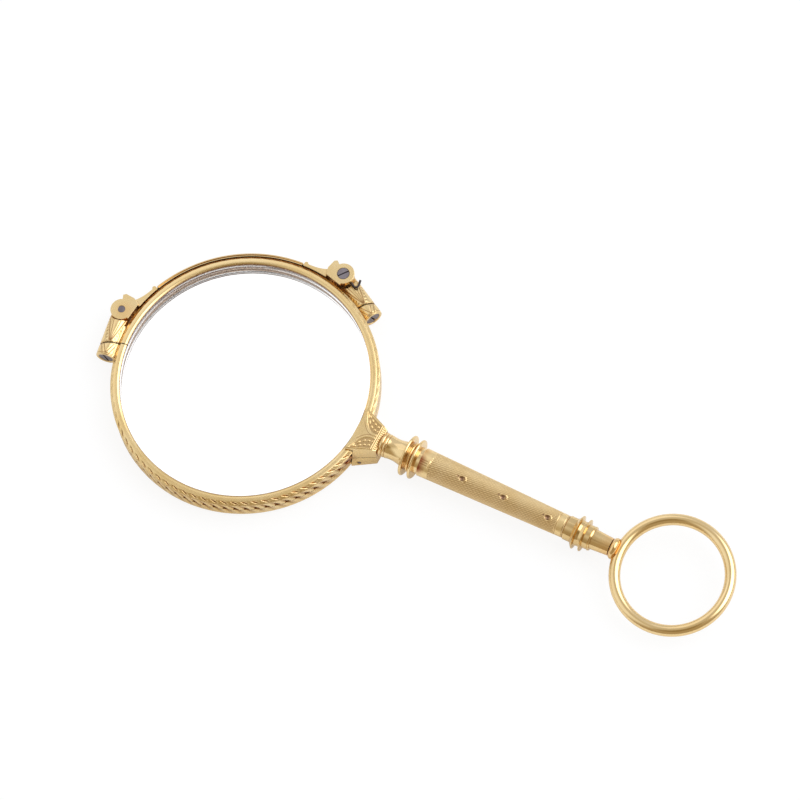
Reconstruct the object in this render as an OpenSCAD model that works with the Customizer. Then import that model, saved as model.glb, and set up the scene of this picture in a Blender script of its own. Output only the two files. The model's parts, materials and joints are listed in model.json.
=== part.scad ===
// Folding spring lorgnette, shown closed.
// Two stacked spectacle rims hang from a curved bridge by a pivot at each of its ends.
// The front rim carries the handle. The catch in the back of the block holds the back rim.
// Each rim is drawn about the shared lens axis, with the handle along +X.

/* [Rims] */
// Radius of the opening inside each rim
sight_r = 19; // [17:0.5:24]
// Width of a rim, measured along the radius
rim_w = 1.45; // [1.2:0.05:2.4]
// Width of the flat front face of a rim
face_w = 1.05; // [0.8:0.05:1.2]
// Height of one rim
rim_h = 2.15; // [1.9:0.05:2.6]
// Gap between the two closed rims
seam = 0.1; // [0.06:0.02:0.3]
// Depth of the groove that holds a lens
groove_d = 0.5; // [0.3:0.05:0.6]
// Gap of the split in each rim
split_gap = 0.16; // [0.1:0.02:0.4]

/* [Lenses] */
// Thickness of a lens at its middle
lens_mid_t = 1.3; // [1:0.1:1.6]
// Thickness of a lens at its edge
lens_edge_t = 0.8; // [0.5:0.1:1]

/* [Bridge and pivot heads] */
// Direction of the middle of the bridge, counted from the handle
bridge_axis = 125.5; // [118:0.5:132]
// Angle from the middle of the bridge to each pivot
head_angle = 49.3; // [44:0.5:54]
// Distance of a pivot outside the rims
pivot_off = 2.1; // [2:0.05:3]
// Radial thickness of the bridge bar
bar_t = 0.45; // [0.35:0.05:0.8]
// Gap between the rims and the bridge bar
bar_gap = 0.15; // [0.1:0.05:0.4]
// Half the angle that the bridge bar spans
bar_half = 33; // [28:1:34]
// Radius of a head plate
plate_r = 1.7; // [1.6:0.05:1.9]
// Thickness of a head plate
plate_t = 0.75; // [0.5:0.05:0.9]
// Radius of the knob at the end of an arm
knob_r = 0.32; // [0.25:0.01:0.5]

/* [Pivots] */
// Radius of a pivot screw
pivot_r = 0.55; // [0.4:0.05:0.7]
// Radius of a pivot screw's head
pivot_head_r = 0.9; // [0.8:0.05:1.1]
// Running clearance of the lug on its screw
pivot_fit = 0.05; // [0.02:0.01:0.08]
// Radius of a pivot lug
lug_r = 1.6; // [1.5:0.05:1.7]
// Height of a pivot lug
lug_h = 1.65; // [1.2:0.05:1.7]
// Radius of the spring wire
wire_r = 0.18; // [0.1:0.01:0.18]
// Mean radius of a spring coil
coil_r = 1; // [0.9:0.05:1.2]
// Turns in a spring
coil_turns = 1.75; // [0.75:1:1.75]
// Turn of the slot in a pivot screw
pivot_slot_turn = -16; // [-90:1:90]

/* [Rim locks] */
// Radius of a lock barrel
barrel_r = 1.55; // [1.3:0.05:1.6]
// Distance from the pivot to the split in the barrel
barrel_split = 5.7; // [5:0.1:7]
// Length of the short knuckle
knuckle_len = 2.1; // [1.6:0.1:3]
// Slant of the cut between barrel and knuckle
split_skew = 15; // [0:1:20]
// Radius of a lock screw
lock_screw_r = 0.5; // [0.4:0.05:0.6]
// Radius of a lock screw's head
lock_head_r = 1.1; // [0.8:0.05:1.15]

/* [Block and catch] */
// Length of the block from the rims to the neck
block_len = 2.9; // [2.4:0.1:4]
// Width of the block's face at the rims
block_w0 = 7.3; // [6.6:0.1:8.4]
// Width of the block's face at the neck
block_w1 = 3.8; // [3.4:0.1:4.6]
// How much wider the block is at its back, at the rims
block_flare = 2.1; // [0:0.1:2.4]
// Height of the block above the face of the front rim
block_proud = 0.35; // [0.1:0.05:0.6]
// Width of the slot for the catch lever
catch_slot_w = 1.2; // [1:0.05:1.6]
// Radius of the catch pin
catch_pin_r = 0.35; // [0.3:0.05:0.4]

/* [Handle] */
// Length of the neck
neck_len = 4.1; // [3.6:0.1:6]
// Radius of the rings on the neck
neck_ring_r = 1.9; // [1.8:0.05:2.2]
// Smallest radius of the neck
neck_r = 1.7; // [1.5:0.05:1.75]
// Radius of the upper flanges
flange_r = 3.2; // [2.8:0.05:3.25]
// Distance between the upper flanges
flange_step = 1.45; // [1.2:0.05:2]
// Length of the engine-turned tube
tube_len = 24; // [18:0.5:60]
// Radius of the tube at its upper end
tube_r0 = 2.2; // [2:0.05:2.6]
// Radius of the tube at its lower end
tube_r1 = 1.75; // [1.7:0.05:2.2]
// Wall of the tube
tube_wall = 0.35; // [0.25:0.05:0.5]
// Radius of the rod inside the handle
rod_r = 0.8; // [0.6:0.05:0.85]
// Radius of the lower flanges
low_flange_r = 2.63; // [2.3:0.05:3]
// Length of the end ferrule
ferrule_len = 2.9; // [2.4:0.1:5]

/* [Loop] */
// Radius of the loop to the middle of its wire
loop_r = 8.55; // [6:0.1:12]
// Radius of the loop's wire
loop_wire_r = 0.87; // [0.6:0.01:1]
// Radius of the swivel pin
swivel_r = 0.5; // [0.4:0.05:0.6]
// Running clearance of the swivel pin
swivel_fit = 0.05; // [0.02:0.01:0.08]
// How far the loop is turned about the handle
loop_turn = 4.5; // [0:0.5:10]

/* [Place of the whole] */
// Place of the lens axis along the length
lens_x = -28.43; // [-60:0.01:0]
// Place of the lens axis across the length
lens_y = -1.57; // [-10:0.01:10]

/* [Hidden] */
$fn = 72;
gold = [0.83, 0.66, 0.33];
steel = [0.45, 0.44, 0.46];
clear_glass = [0.85, 0.9, 0.92, 0.35];
fit = 0.03;
over = 0.5;

// The rims and the stack: the seam lies at z = 0 and the front faces up
rim_r = sight_r + rim_w;
face_r = sight_r + face_w;
rim_low = seam / 2;
rim_top = rim_low + rim_h;
rim_mid = (rim_low + rim_top) / 2;
lens_r = sight_r + groove_d - 0.05;
slot_z = 0.4;

// The bridge: its middle lies along +Y of its own frame
pivot_d = rim_r + pivot_off;
pivot_x = -pivot_d * sin(head_angle);
pivot_y = pivot_d * cos(head_angle);
bar_r0 = rim_r + bar_gap;
bar_r1 = bar_r0 + bar_t;
bar_h = 2 * rim_top - 0.6;
plate_top = rim_top;
barrel_z = rim_top - barrel_r;
plate_low = plate_top - plate_t;
lug_top = plate_low - 0.05;
lug_low = lug_top - lug_h;
plate_cut_r = plate_r + 0.1;
web_r = plate_r + 0.25;
screw_sink = 0.4;
screw_below = 0.02;

// Corners of a head plate, as distance and direction from its pivot
ear_out = [2.4, 77];
ear_in = [2.6, 66];
head_shoulder = [2.6, 34.5];
head_corner = [2.7, 8.5];
head_heel = [1.92, -66];

// How far the arm's root stands from the pivot, and how high it rises there
arm_root = 5.2;
arm_rise = 1.05;

// The lock barrel runs through its pivot, square to the radius at the split.
// The cut slants across it and meets the cut through the rim at the rim's wall.
split_d = sqrt(pivot_d * pivot_d - barrel_split * barrel_split);
split_turn = asin(barrel_split / pivot_d);
barrel_dir = 180 + head_angle + split_turn;
split_angle = head_angle + split_turn - atan((split_d - rim_r) * tan(split_skew) / rim_r);
barrel_end = barrel_split + knuckle_len;
barrel_root = 0.6;
foot_start = 2.4;
foot_top = rim_top - 0.45;
foot_reach = split_d - rim_r + 1;
head_sink = 0.6;
lock_tip = 3;
lock_head_t = 0.5;

// The block and the catch
block_x0 = sight_r + 0.1;
block_x1 = rim_r + block_len;
block_top = rim_top + block_proud;
neck_flare = 0.4;
handle_z = max(flange_r - rim_top, rim_low + rod_r + 0.1);
catch_x = rim_r + 0.5;
catch_z = -rim_top + 0.8;
nose_x0 = rim_r - 0.45;
nose_x1 = rim_r - 0.02;
nose_swing = 0.52;
lever_t = catch_slot_w - 0.2;
lever_end = block_x1 - 0.5;
catch_roof = 0.35;
arm_h = 0.65;
catch_eye_r = 0.7;
catch_fit = 0.04;
lever_low = -rim_top + 0.05;

// The handle, as places along its axis
neck_x0 = block_x1;
neck_x1 = neck_x0 + neck_len;
flange_t = 0.45;
flanges_x1 = neck_x1 + flange_step + 1.3;
tube_x1 = flanges_x1 + tube_len;
low_x1 = tube_x1 + 4.4;
ferrule_x1 = low_x1 + ferrule_len;
collar_gap = 0.06;
collar_x0 = ferrule_x1 + collar_gap;
collar_len = 1.1;
loop_x = collar_x0 + collar_len + loop_r + loop_wire_r * 0.45;
rod_x0 = block_x1 - 1.6;
rod_x1 = low_x1 - 1.1;
rod_hole_r = rod_r + fit;
spigot_len = 0.9;
spigot_r = 1.05;
ferrule_r0 = 1.57;
ferrule_r1 = 1.38;
pin_head_r = 0.8;
pin_head_t = 0.5;

// Where a point lies at a distance and a direction
function at(d, a) = [d * cos(a), d * sin(a)];
// Points of an arc about [x, y]
function arc(x, y, r, a0, a1, n) = [for (i = [0:n]) [x, y] + at(r, a0 + (a1 - a0) * i / n)];

module lens_frame() {
    translate([lens_x, lens_y, rim_top]) children();
}
module bridge_frame() {
    lens_frame() rotate([0, 0, bridge_axis - 90]) children();
}
// The back and the right are the front and the left turned over about the bridge's middle
module turned_over() {
    rotate([0, 180, 0]) children();
}
module along_handle() {
    lens_frame() translate([0, 0, handle_z]) rotate([0, 90, 0]) children();
}
module turned_loop() {
    along_handle() rotate([0, 0, loop_turn]) children();
}
module at_pivot() {
    translate([pivot_x, pivot_y, 0]) children();
}
module along_barrel() {
    at_pivot() translate([0, 0, barrel_z]) rotate([0, 0, barrel_dir]) rotate([0, 90, 0]) children();
}

// One rim as a turned ring: flat face, worn shoulder, wall and lens groove
module rim_ring() {
    groove_z = rim_mid;
    profile = [
        [sight_r, rim_low],
        [sight_r, groove_z - 0.55],
        [sight_r + groove_d, groove_z],
        [sight_r, groove_z + 0.55],
        [sight_r, rim_top - 0.08],
        [sight_r + 0.08, rim_top],
        [face_r, rim_top],
        [face_r + (rim_r - face_r) * 0.75, rim_top - 0.2],
        [rim_r, rim_top - 0.55],
        [rim_r, rim_low + 0.15],
        [rim_r - 0.15, rim_low]
    ];
    rotate_extrude($fn = 180) polygon(profile);
}
module rim_split() {
    rotate([0, 0, split_angle]) translate([-split_gap / 2, sight_r - 1, rim_low - over])
        cube([split_gap, rim_w + 2, rim_h + 2 * over]);
}
module split_rim() {
    difference() {
        rim_ring();
        rim_split();
    }
}
// Slot through a rim for the nose of the catch lever
module nose_slot(x0, z0, z1) {
    translate([x0, -catch_slot_w / 2, z0]) cube([rim_r + 0.1 - x0, catch_slot_w, z1 - z0]);
}
module nose_pocket() {
    nose_slot(nose_x0 - nose_swing, rim_low - over, slot_z);
}
module front_rim() {
    color(gold) difference() {
        bridge_frame() split_rim();
        lens_frame() nose_pocket();
    }
}
module back_rim() {
    color(gold) difference() {
        bridge_frame() turned_over() split_rim();
        lens_frame() nose_slot(nose_x0 - 0.2, -rim_top - over, over);
        lens_frame() nose_slot(nose_x0 - nose_swing, -0.95, over);
    }
}

// A bevelled lens with a slight crown on both faces
module lens() {
    crown = (lens_mid_t - lens_edge_t) / 2;
    body_r = sight_r - 0.05;
    curve_r = (body_r * body_r + crown * crown) / (2 * crown);
    lean = asin(body_r / curve_r);
    top = arc(0, lens_mid_t / 2 - curve_r, curve_r, 90 - lean, 90, 8);
    bottom = arc(0, curve_r - lens_mid_t / 2, curve_r, -90, lean - 90, 8);
    rotate_extrude($fn = 120) polygon(concat([[lens_r, 0]], top, bottom));
}
module front_lens() {
    color(clear_glass) bridge_frame() translate([0, 0, rim_mid]) lens();
}
module back_lens() {
    color(clear_glass) bridge_frame() turned_over() translate([0, 0, rim_mid]) lens();
}

// A length of barrel with the foot that joins it to the rim, cut back to clear the other rim
module barrel_piece(t0, t1, foot0) {
    difference() {
        union() {
            along_barrel() translate([0, 0, t0]) cylinder(h = t1 - t0, r = barrel_r, $fn = 48);
            along_barrel() translate([barrel_z - foot_top, 0, foot0])
                cube([foot_top - rim_low, foot_reach, t1 - foot0]);
        }
        translate([0, 0, -over]) cylinder(h = rim_top + 2 * over, r = rim_r, $fn = 180);
        translate([0, 0, -2 * rim_top]) cylinder(h = 2 * rim_top + rim_low, r = rim_r + seam, $fn = 180);
    }
}
// One side of the slanting cut: the knuckle's with side = 1, the barrel's with side = -1
module past_split(side) {
    reach = 5;
    edge = side > 0 ? -split_gap / 2 : split_gap / 2 - 2 * reach;
    along_barrel() translate([0, 0, barrel_split]) rotate([-split_skew, 0, 0])
        translate([-reach, -reach, edge]) cube(2 * reach);
}
module lock_bore() {
    along_barrel() translate([0, 0, lock_tip - 0.1])
        cylinder(h = barrel_end, r = lock_screw_r + fit, $fn = 32);
    along_barrel() translate([0, 0, barrel_end - head_sink])
        cylinder(h = 1, r = lock_head_r + fit, $fn = 32);
}
// Long barrel: its root is the lug that turns on the pivot screw
module lock_barrel() {
    difference() {
        union() {
            barrel_piece(barrel_root, barrel_end - 0.2, foot_start);
            at_pivot() translate([0, 0, lug_low]) cylinder(h = lug_h, r = lug_r, $fn = 48);
        }
        past_split(1);
        at_pivot() translate([0, 0, lug_top]) cylinder(h = 3, r = plate_cut_r, $fn = 48);
        at_pivot() translate([0, 0, lug_low - 3]) cylinder(h = 3, r = plate_cut_r, $fn = 48);
        at_pivot() translate([0, 0, -3]) cylinder(h = 6, r = pivot_r + pivot_fit, $fn = 48);
        lock_bore();
    }
}
module lock_knuckle() {
    difference() {
        barrel_piece(foot_start, barrel_end, foot_start);
        past_split(-1);
        lock_bore();
    }
}
module lock_screw() {
    slot_w = 0.25;
    slot_turn = 20;
    head_low = barrel_end - head_sink + fit;
    along_barrel() difference() {
        union() {
            translate([0, 0, lock_tip]) cylinder(h = head_low + 0.1 - lock_tip, r = lock_screw_r, $fn = 32);
            translate([0, 0, head_low]) cylinder(h = lock_head_t, r = lock_head_r, $fn = 32);
        }
        rotate([0, 0, slot_turn]) translate([-2, -slot_w / 2, head_low + lock_head_t / 2])
            cube([4, slot_w, 1]);
    }
}
module front_lock_barrel() {
    color(gold) bridge_frame() lock_barrel();
}
module back_lock_barrel() {
    color(gold) bridge_frame() turned_over() lock_barrel();
}
module front_lock_knuckle() {
    color(gold) bridge_frame() lock_knuckle();
}
module back_lock_knuckle() {
    color(gold) bridge_frame() turned_over() lock_knuckle();
}
module front_lock_screw() {
    color(steel) bridge_frame() lock_screw();
}
module back_lock_screw() {
    color(steel) bridge_frame() turned_over() lock_screw();
}

// Curved bar between the two arms
module bridge_bar() {
    a0 = 90 - bar_half;
    a1 = 90 + bar_half;
    steps = 44;
    outline = concat(arc(0, 0, bar_r1, a0, a1, steps), arc(0, 0, bar_r0, a1, a0, steps));
    color(gold) bridge_frame() translate([0, 0, -bar_h / 2]) linear_extrude(bar_h) polygon(outline);
}

// Outline of a head plate about its pivot
module head_outline() {
    circle(r = plate_r, $fn = 64);
    corners = [ear_out, ear_in, head_shoulder, head_corner, head_heel];
    polygon(concat([[0, 0]], [for (c = corners) at(c[0], c[1])]));
}
// Arm from the head to the bar, scooped on its outside
module arm_outline() {
    root = head_angle - arm_root;
    tip = bar_half + 0.05;
    rise = arm_rise;
    inside = arc(0, 0, bar_r0, 90 + tip, 90 + root, 8);
    scoop = [for (i = [0:12])
        let (share = i / 12)
        at(bar_r1 + 0.05 + rise * pow(1 - share, 3), 90 + root - (root - tip) * share)];
    polygon(concat(inside, scoop));
}
module pivot_head() {
    difference() {
        union() {
            for (z = [plate_low, -plate_top]) {
                at_pivot() translate([0, 0, z]) linear_extrude(plate_t) head_outline();
            }
            at_pivot() translate([0, 0, -plate_top]) linear_extrude(2 * plate_top) intersection() {
                head_outline();
                polygon([[0, 0], at(4, 72), at(5, 35), at(4, -2)]);
            }
            translate([0, 0, -bar_h / 2]) linear_extrude(bar_h) arm_outline();
            rotate([0, 0, bar_half + 0.9]) translate([0, bar_r1, -bar_h / 2])
                cylinder(h = bar_h, r = knob_r, $fn = 32);
        }
        at_pivot() translate([0, 0, -plate_low]) cylinder(h = 2 * plate_low, r = web_r, $fn = 48);
        at_pivot() translate([0, 0, -2 * plate_top]) cylinder(h = 4 * plate_top, r = pivot_r + fit, $fn = 48);
        at_pivot() translate([0, 0, -plate_top - over])
            cylinder(h = over + screw_sink, r = pivot_head_r + fit, $fn = 48);
        translate([0, 0, -2 * plate_top]) cylinder(h = 4 * plate_top, r = bar_r0 - 0.01, $fn = 180);
    }
}
module left_head() {
    color(gold) bridge_frame() pivot_head();
}
module right_head() {
    color(gold) bridge_frame() turned_over() pivot_head();
}

module pivot_screw() {
    slot_w = 0.22;
    at_pivot() difference() {
        union() {
            translate([0, 0, 0.05 - plate_top]) cylinder(h = 2 * plate_top - 0.1, r = pivot_r, $fn = 48);
            translate([0, 0, screw_below - plate_top])
                cylinder(h = screw_sink - screw_below - fit, r = pivot_head_r, $fn = 48);
        }
        rotate([0, 0, pivot_slot_turn]) translate([-2, -slot_w / 2, screw_sink / 2 - plate_top - 1])
            cube([4, slot_w, 1]);
    }
}
module left_pivot_screw() {
    color(steel) bridge_frame() pivot_screw();
}
module right_pivot_screw() {
    color(steel) bridge_frame() turned_over() pivot_screw();
}

// Torsion spring: a coil about the pivot and a hooked tail beside the barrel
coil_low = -plate_low + wire_r + 0.04;
coil_high = lug_low - wire_r - 0.04;
turn_steps = 12;
coil_steps = coil_turns * turn_steps;
coil_start = -127 + 90;
coil_points = [for (i = [0:coil_steps])
    let (a = coil_start + 360 * i / turn_steps)
    concat(at(coil_r, a), [coil_high - (coil_high - coil_low) * i / coil_steps])];
tail_points = [[-1.0, -1.35], [-1.17, -1.8], [-1.38, -2.12], [-1.72, -2.2], [-2.05, -1.9], [-2.4, -1.15]];
spring_path = concat(coil_points, [for (p = tail_points) concat(p, [coil_low])]);

// Tube along a path, from rings of points
module wire(path, r, sides) {
    n = len(path);
    function dir(i) = let (d = path[min(i + 1, n - 1)] - path[max(i - 1, 0)]) d / norm(d);
    function side(i) = let (s = cross(dir(i), [0, 0, 1])) s / norm(s);
    ring = [for (i = [0:n - 1], k = [0:sides - 1])
        let (s = side(i), u = cross(s, dir(i)), a = 360 * k / sides)
        path[i] + r * (s * cos(a) + u * sin(a))];
    walls = [for (i = [0:n - 2], k = [0:sides - 1])
        let (a = i * sides + k, b = i * sides + (k + 1) % sides)
        each [[a, b + sides, b], [a, a + sides, b + sides]]];
    caps = [[for (k = [0:sides - 1]) k], [for (k = [sides - 1:-1:0]) (n - 1) * sides + k]];
    polyhedron(ring, concat(walls, caps), convexity = 6);
}
module pivot_spring() {
    at_pivot() wire(spring_path, wire_r, 6);
}
module left_spring() {
    color(steel) bridge_frame() pivot_spring();
}
module right_spring() {
    color(steel) bridge_frame() turned_over() pivot_spring();
}

// Half the width of the block at the rims and at the neck, wider towards the back
function flared(w, flare, z) = (w + flare * (block_top - z) / (block_top + rim_top)) / 2;
module block_slice(z) {
    y0 = flared(block_w0, block_flare, z);
    y1 = flared(block_w1, neck_flare, z);
    translate([0, 0, z]) linear_extrude(0.001)
        polygon([[block_x0, -y0], [block_x1, -y1], [block_x1, y1], [block_x0, y0]]);
}
module block_wedge(z0, z1) {
    hull() {
        block_slice(z0);
        block_slice(z1 - 0.001);
    }
}
// Front half of the block: a foot over the face of the rim and the seat of the neck
module handle_block() {
    band = 0.5;
    color(gold) lens_frame() difference() {
        block_wedge(rim_low, block_top);
        translate([0, 0, -over]) cylinder(h = rim_top + over, r = rim_r, $fn = 180);
        cylinder(h = block_top + 1, r = block_x0, $fn = 180);
        translate([block_x1 - band, -block_w0, block_top]) rotate([0, 35, 0]) cube([2, 2 * block_w0, 1]);
        translate([rod_x0 - 0.05, 0, handle_z]) rotate([0, 90, 0])
            cylinder(h = block_len, r = rod_hole_r, $fn = 32);
        nose_pocket();
    }
}
// Back half of the block, on the back rim, hollowed for the catch
module catch_lug() {
    well_x1 = lever_end + 0.15;
    color(gold) lens_frame() difference() {
        block_wedge(-rim_top, -rim_low);
        translate([0, 0, -rim_top - over]) cylinder(h = rim_h + 2 * over, r = rim_r, $fn = 180);
        translate([rim_r - 1, -catch_slot_w / 2, -rim_top - over])
            cube([well_x1 - rim_r + 1, catch_slot_w, rim_top + over - catch_roof]);
        nose_slot(nose_x0, -catch_roof - over, over);
        catch_pin_hole();
    }
}
module catch_pin_hole() {
    translate([catch_x, block_w0, catch_z]) rotate([90, 0, 0])
        cylinder(h = 2 * block_w0, r = catch_pin_r + fit, $fn = 32);
}
// Rocking lever: the nose stands in the front rim, the thumb end lies in the back of the lug
module catch_lever() {
    nose_top = slot_z - 0.15;
    grip_ribs = 4;
    grip_step = 0.35;
    grip_end = 0.3;
    grip_r = 0.05;
    color(steel) lens_frame() difference() {
        union() {
            translate([nose_x0, -lever_t / 2, catch_z - 0.2])
                cube([nose_x1 - nose_x0, lever_t, nose_top - catch_z + 0.2]);
            translate([catch_x - 0.3, -lever_t / 2, lever_low])
                cube([lever_end - catch_x + 0.3, lever_t, arm_h]);
            translate([catch_x, lever_t / 2, catch_z]) rotate([90, 0, 0])
                cylinder(h = lever_t, r = catch_eye_r, $fn = 32);
            for (i = [0:grip_ribs - 1]) {
                translate([lever_end - grip_end - grip_step * i, -lever_t / 2, lever_low])
                    rotate([-90, 0, 0]) cylinder(h = lever_t, r = grip_r, $fn = 16);
            }
        }
        catch_pin_bore();
    }
}
module catch_pin_bore() {
    translate([catch_x, lever_t, catch_z]) rotate([90, 0, 0])
        cylinder(h = 2 * lever_t, r = catch_pin_r + catch_fit, $fn = 32);
}
module catch_pin() {
    half = catch_pin_half;
    color(steel) lens_frame() translate([catch_x, half, catch_z]) rotate([90, 0, 0])
        cylinder(h = 2 * half, r = catch_pin_r, $fn = 32);
}
pin_share = (catch_x - block_x0) / (block_x1 - block_x0);
wide_half = flared(block_w0, block_flare, catch_z);
catch_pin_half = wide_half + (flared(block_w1, neck_flare, catch_z) - wide_half) * pin_share;

// Leaf spring between the roof of the slot and the thumb end
module catch_spring() {
    leaf_t = 0.1;
    leaf_w = lever_t - 0.2;
    x0 = catch_x + 1;
    roof = -catch_roof - 0.01;
    arm = lever_low + arm_h + 0.02;
    seat = 0.25;
    outline = [
        [lever_end, roof], [lever_end, roof - leaf_t], [lever_end - seat, roof - leaf_t],
        [x0 + seat, arm], [x0, arm], [x0, arm + leaf_t], [x0 + seat - 0.04, arm + leaf_t],
        [lever_end - seat - 0.04, roof]
    ];
    color(steel) lens_frame() translate([0, leaf_w / 2, 0]) rotate([90, 0, 0])
        linear_extrude(leaf_w) polygon(outline);
}

// A turned ring with a half-round edge, from its middle plane
module bead(x, r, w) {
    translate([0, 0, x]) rotate_extrude() translate([r - w / 2, 0]) circle(r = w / 2, $fn = 24);
    translate([0, 0, x - w / 2]) cylinder(h = w, r = r - w / 2);
}
// Neck: two rings, a concave vase and, where the back rim passes, a flat below
module neck() {
    ring_w = 0.5;
    ring_step = 0.54;
    ring_x = neck_x0 + ring_w / 2 + 0.07;
    vase_x0 = ring_x + ring_step + ring_w / 2 + 0.09;
    vase_len = neck_x1 - vase_x0;
    waist = 0.35;
    swell = 0.4;
    function vase_r(share) = neck_r + swell * pow((share - waist) / (1 - waist), 2);
    vase = [for (i = [0:16]) [vase_r(i / 16), vase_x0 + vase_len * i / 16]];
    flat_len = 2.6;
    color(gold) difference() {
        along_handle() difference() {
            union() {
                translate([0, 0, neck_x0]) cylinder(h = vase_x0 - neck_x0 + 0.05, r = neck_r);
                bead(ring_x, neck_ring_r, ring_w);
                bead(ring_x + ring_step, neck_ring_r - 0.05, ring_w);
                rotate_extrude() polygon(concat([[0, vase_x0]], vase, [[0, neck_x1]]));
            }
            translate([0, 0, neck_x0 - 1]) cylinder(h = neck_len + 2, r = rod_hole_r);
        }
        lens_frame() translate([neck_x0 - 1, -flange_r, rim_low - flange_r])
            cube([flat_len + 1, 2 * flange_r, flange_r]);
    }
}
// Thin flange with a rounded edge
module flange(x, r) {
    bead(x, r, flange_t);
}
module upper_flanges() {
    first_x = neck_x1 + flange_t / 2 + 0.1;
    drum_r = 2.05;
    mid_ring_r = 2.35;
    mid_ring_w = 0.4;
    color(gold) along_handle() difference() {
        union() {
            flange(first_x, flange_r);
            flange(first_x + flange_step, flange_r - 0.06);
            translate([0, 0, neck_x1]) cylinder(h = flanges_x1 - neck_x1, r = drum_r);
            bead(first_x + flange_step / 2, mid_ring_r, mid_ring_w);
        }
        translate([0, 0, neck_x1 - 1]) cylinder(h = flanges_x1 - neck_x1 + 2, r = rod_hole_r);
    }
}
// Engine-turned tube with band lines and three dimples on its front
module handle_tube() {
    line_w = 0.14;
    line_deep = 0.06;
    bands = [1.6, tube_len - 1.25, tube_len - 0.2];
    dimples = [6.95, 14.1, 21.1];
    dimple_r = 0.5;
    dimple_deep = 0.22;
    function outer(x) = tube_r0 + (tube_r1 - tube_r0) * x / tube_len;
    color(gold) difference() {
        along_handle() translate([0, 0, flanges_x1]) difference() {
            cylinder(h = tube_len, r1 = tube_r0, r2 = tube_r1);
            translate([0, 0, -0.01])
                cylinder(h = tube_len + 0.02, r1 = tube_r0 - tube_wall, r2 = tube_r1 - tube_wall);
            for (x = bands) {
                translate([0, 0, x - line_w / 2]) difference() {
                    cylinder(h = line_w, r = 2 * tube_r0);
                    cylinder(h = line_w, r = outer(x) - line_deep);
                }
            }
        }
        lens_frame() for (x = dimples) {
            translate([flanges_x1 + x, 0, handle_z + outer(x) + dimple_r - dimple_deep])
                sphere(r = dimple_r, $fn = 24);
        }
    }
}
module handle_rod() {
    color(steel) along_handle() translate([0, 0, rod_x0]) cylinder(h = rod_x1 - rod_x0, r = rod_r, $fn = 32);
}
// Collar, two sharp flanges and a second collar that takes the ferrule's spigot
module lower_flanges() {
    x0 = tube_x1;
    steps = [
        [1.7, 0], [1.88, 0.15], [1.88, 1.35], [2.1, 1.45], [low_flange_r, 1.85], [low_flange_r, 1.95],
        [2.05, 2.1], [1.95, 2.5], [2.05, 2.9], [low_flange_r - 0.1, 3.05], [low_flange_r - 0.1, 3.15],
        [1.85, 3.3], [1.85, 4.1], [1.92, 4.2], [1.85, 4.4]
    ];
    color(gold) along_handle() difference() {
        rotate_extrude() polygon(concat([[0, x0]], [for (p = steps) [p[0], p[1] + x0]], [[0, low_x1]]));
        translate([0, 0, x0 - 1]) cylinder(h = rod_x1 - x0 + 1.02, r = rod_hole_r, $fn = 32);
        translate([0, 0, low_x1 - spigot_len - 0.05]) cylinder(h = 2, r = spigot_r + fit, $fn = 32);
    }
}
module end_ferrule() {
    color(gold) along_handle() difference() {
        union() {
            translate([0, 0, low_x1]) cylinder(h = ferrule_len, r1 = ferrule_r0, r2 = ferrule_r1);
            translate([0, 0, low_x1 - spigot_len]) cylinder(h = spigot_len + 0.1, r = spigot_r, $fn = 32);
        }
        translate([0, 0, low_x1 - 2]) cylinder(h = 2 + pin_head_t + 0.3, r = pin_head_r + 0.06, $fn = 32);
        translate([0, 0, low_x1 - 1]) cylinder(h = ferrule_len + 2, r = swivel_r + swivel_fit, $fn = 32);
    }
}
// Ring-shaped collar on the loop, and the pin that turns in the ferrule
module swivel_collar() {
    collar_r = 1.68;
    color(gold) turned_loop() difference() {
        bead(collar_x0 + collar_len / 2, collar_r, collar_len);
        translate([0, 0, collar_x0 - 1]) cylinder(h = 4, r = swivel_r + fit, $fn = 32);
        loop_torus(loop_wire_r + 0.01);
    }
}
module swivel_pin() {
    head_x = low_x1 + 0.2;
    pin_x1 = loop_x - loop_r - loop_wire_r - 0.01;
    color(steel) turned_loop() {
        translate([0, 0, head_x]) cylinder(h = pin_head_t, r = pin_head_r, $fn = 32);
        translate([0, 0, head_x + 0.1]) cylinder(h = pin_x1 - head_x - 0.1, r = swivel_r, $fn = 32);
    }
}
module loop_torus(r) {
    translate([0, 0, loop_x]) rotate([0, 90, 0])
        rotate_extrude($fn = 120) translate([loop_r, 0]) circle(r = r, $fn = 36);
}
module loop_ring() {
    color(gold) turned_loop() loop_torus(loop_wire_r);
}

front_rim();
front_lens();
front_lock_barrel();
front_lock_knuckle();
front_lock_screw();
back_rim();
back_lens();
back_lock_barrel();
back_lock_knuckle();
back_lock_screw();
bridge_bar();
left_head();
right_head();
left_pivot_screw();
right_pivot_screw();
left_spring();
right_spring();
handle_block();
catch_lug();
catch_lever();
catch_pin();
catch_spring();
neck();
upper_flanges();
handle_tube();
handle_rod();
lower_flanges();
end_ferrule();
swivel_collar();
swivel_pin();
loop_ring();
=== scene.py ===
"""Folding spring lorgnette in gold, lying closed on a white table."""
import json
import math

import bmesh
import bpy
import numpy as np
from mathutils import Matrix, Vector


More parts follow.
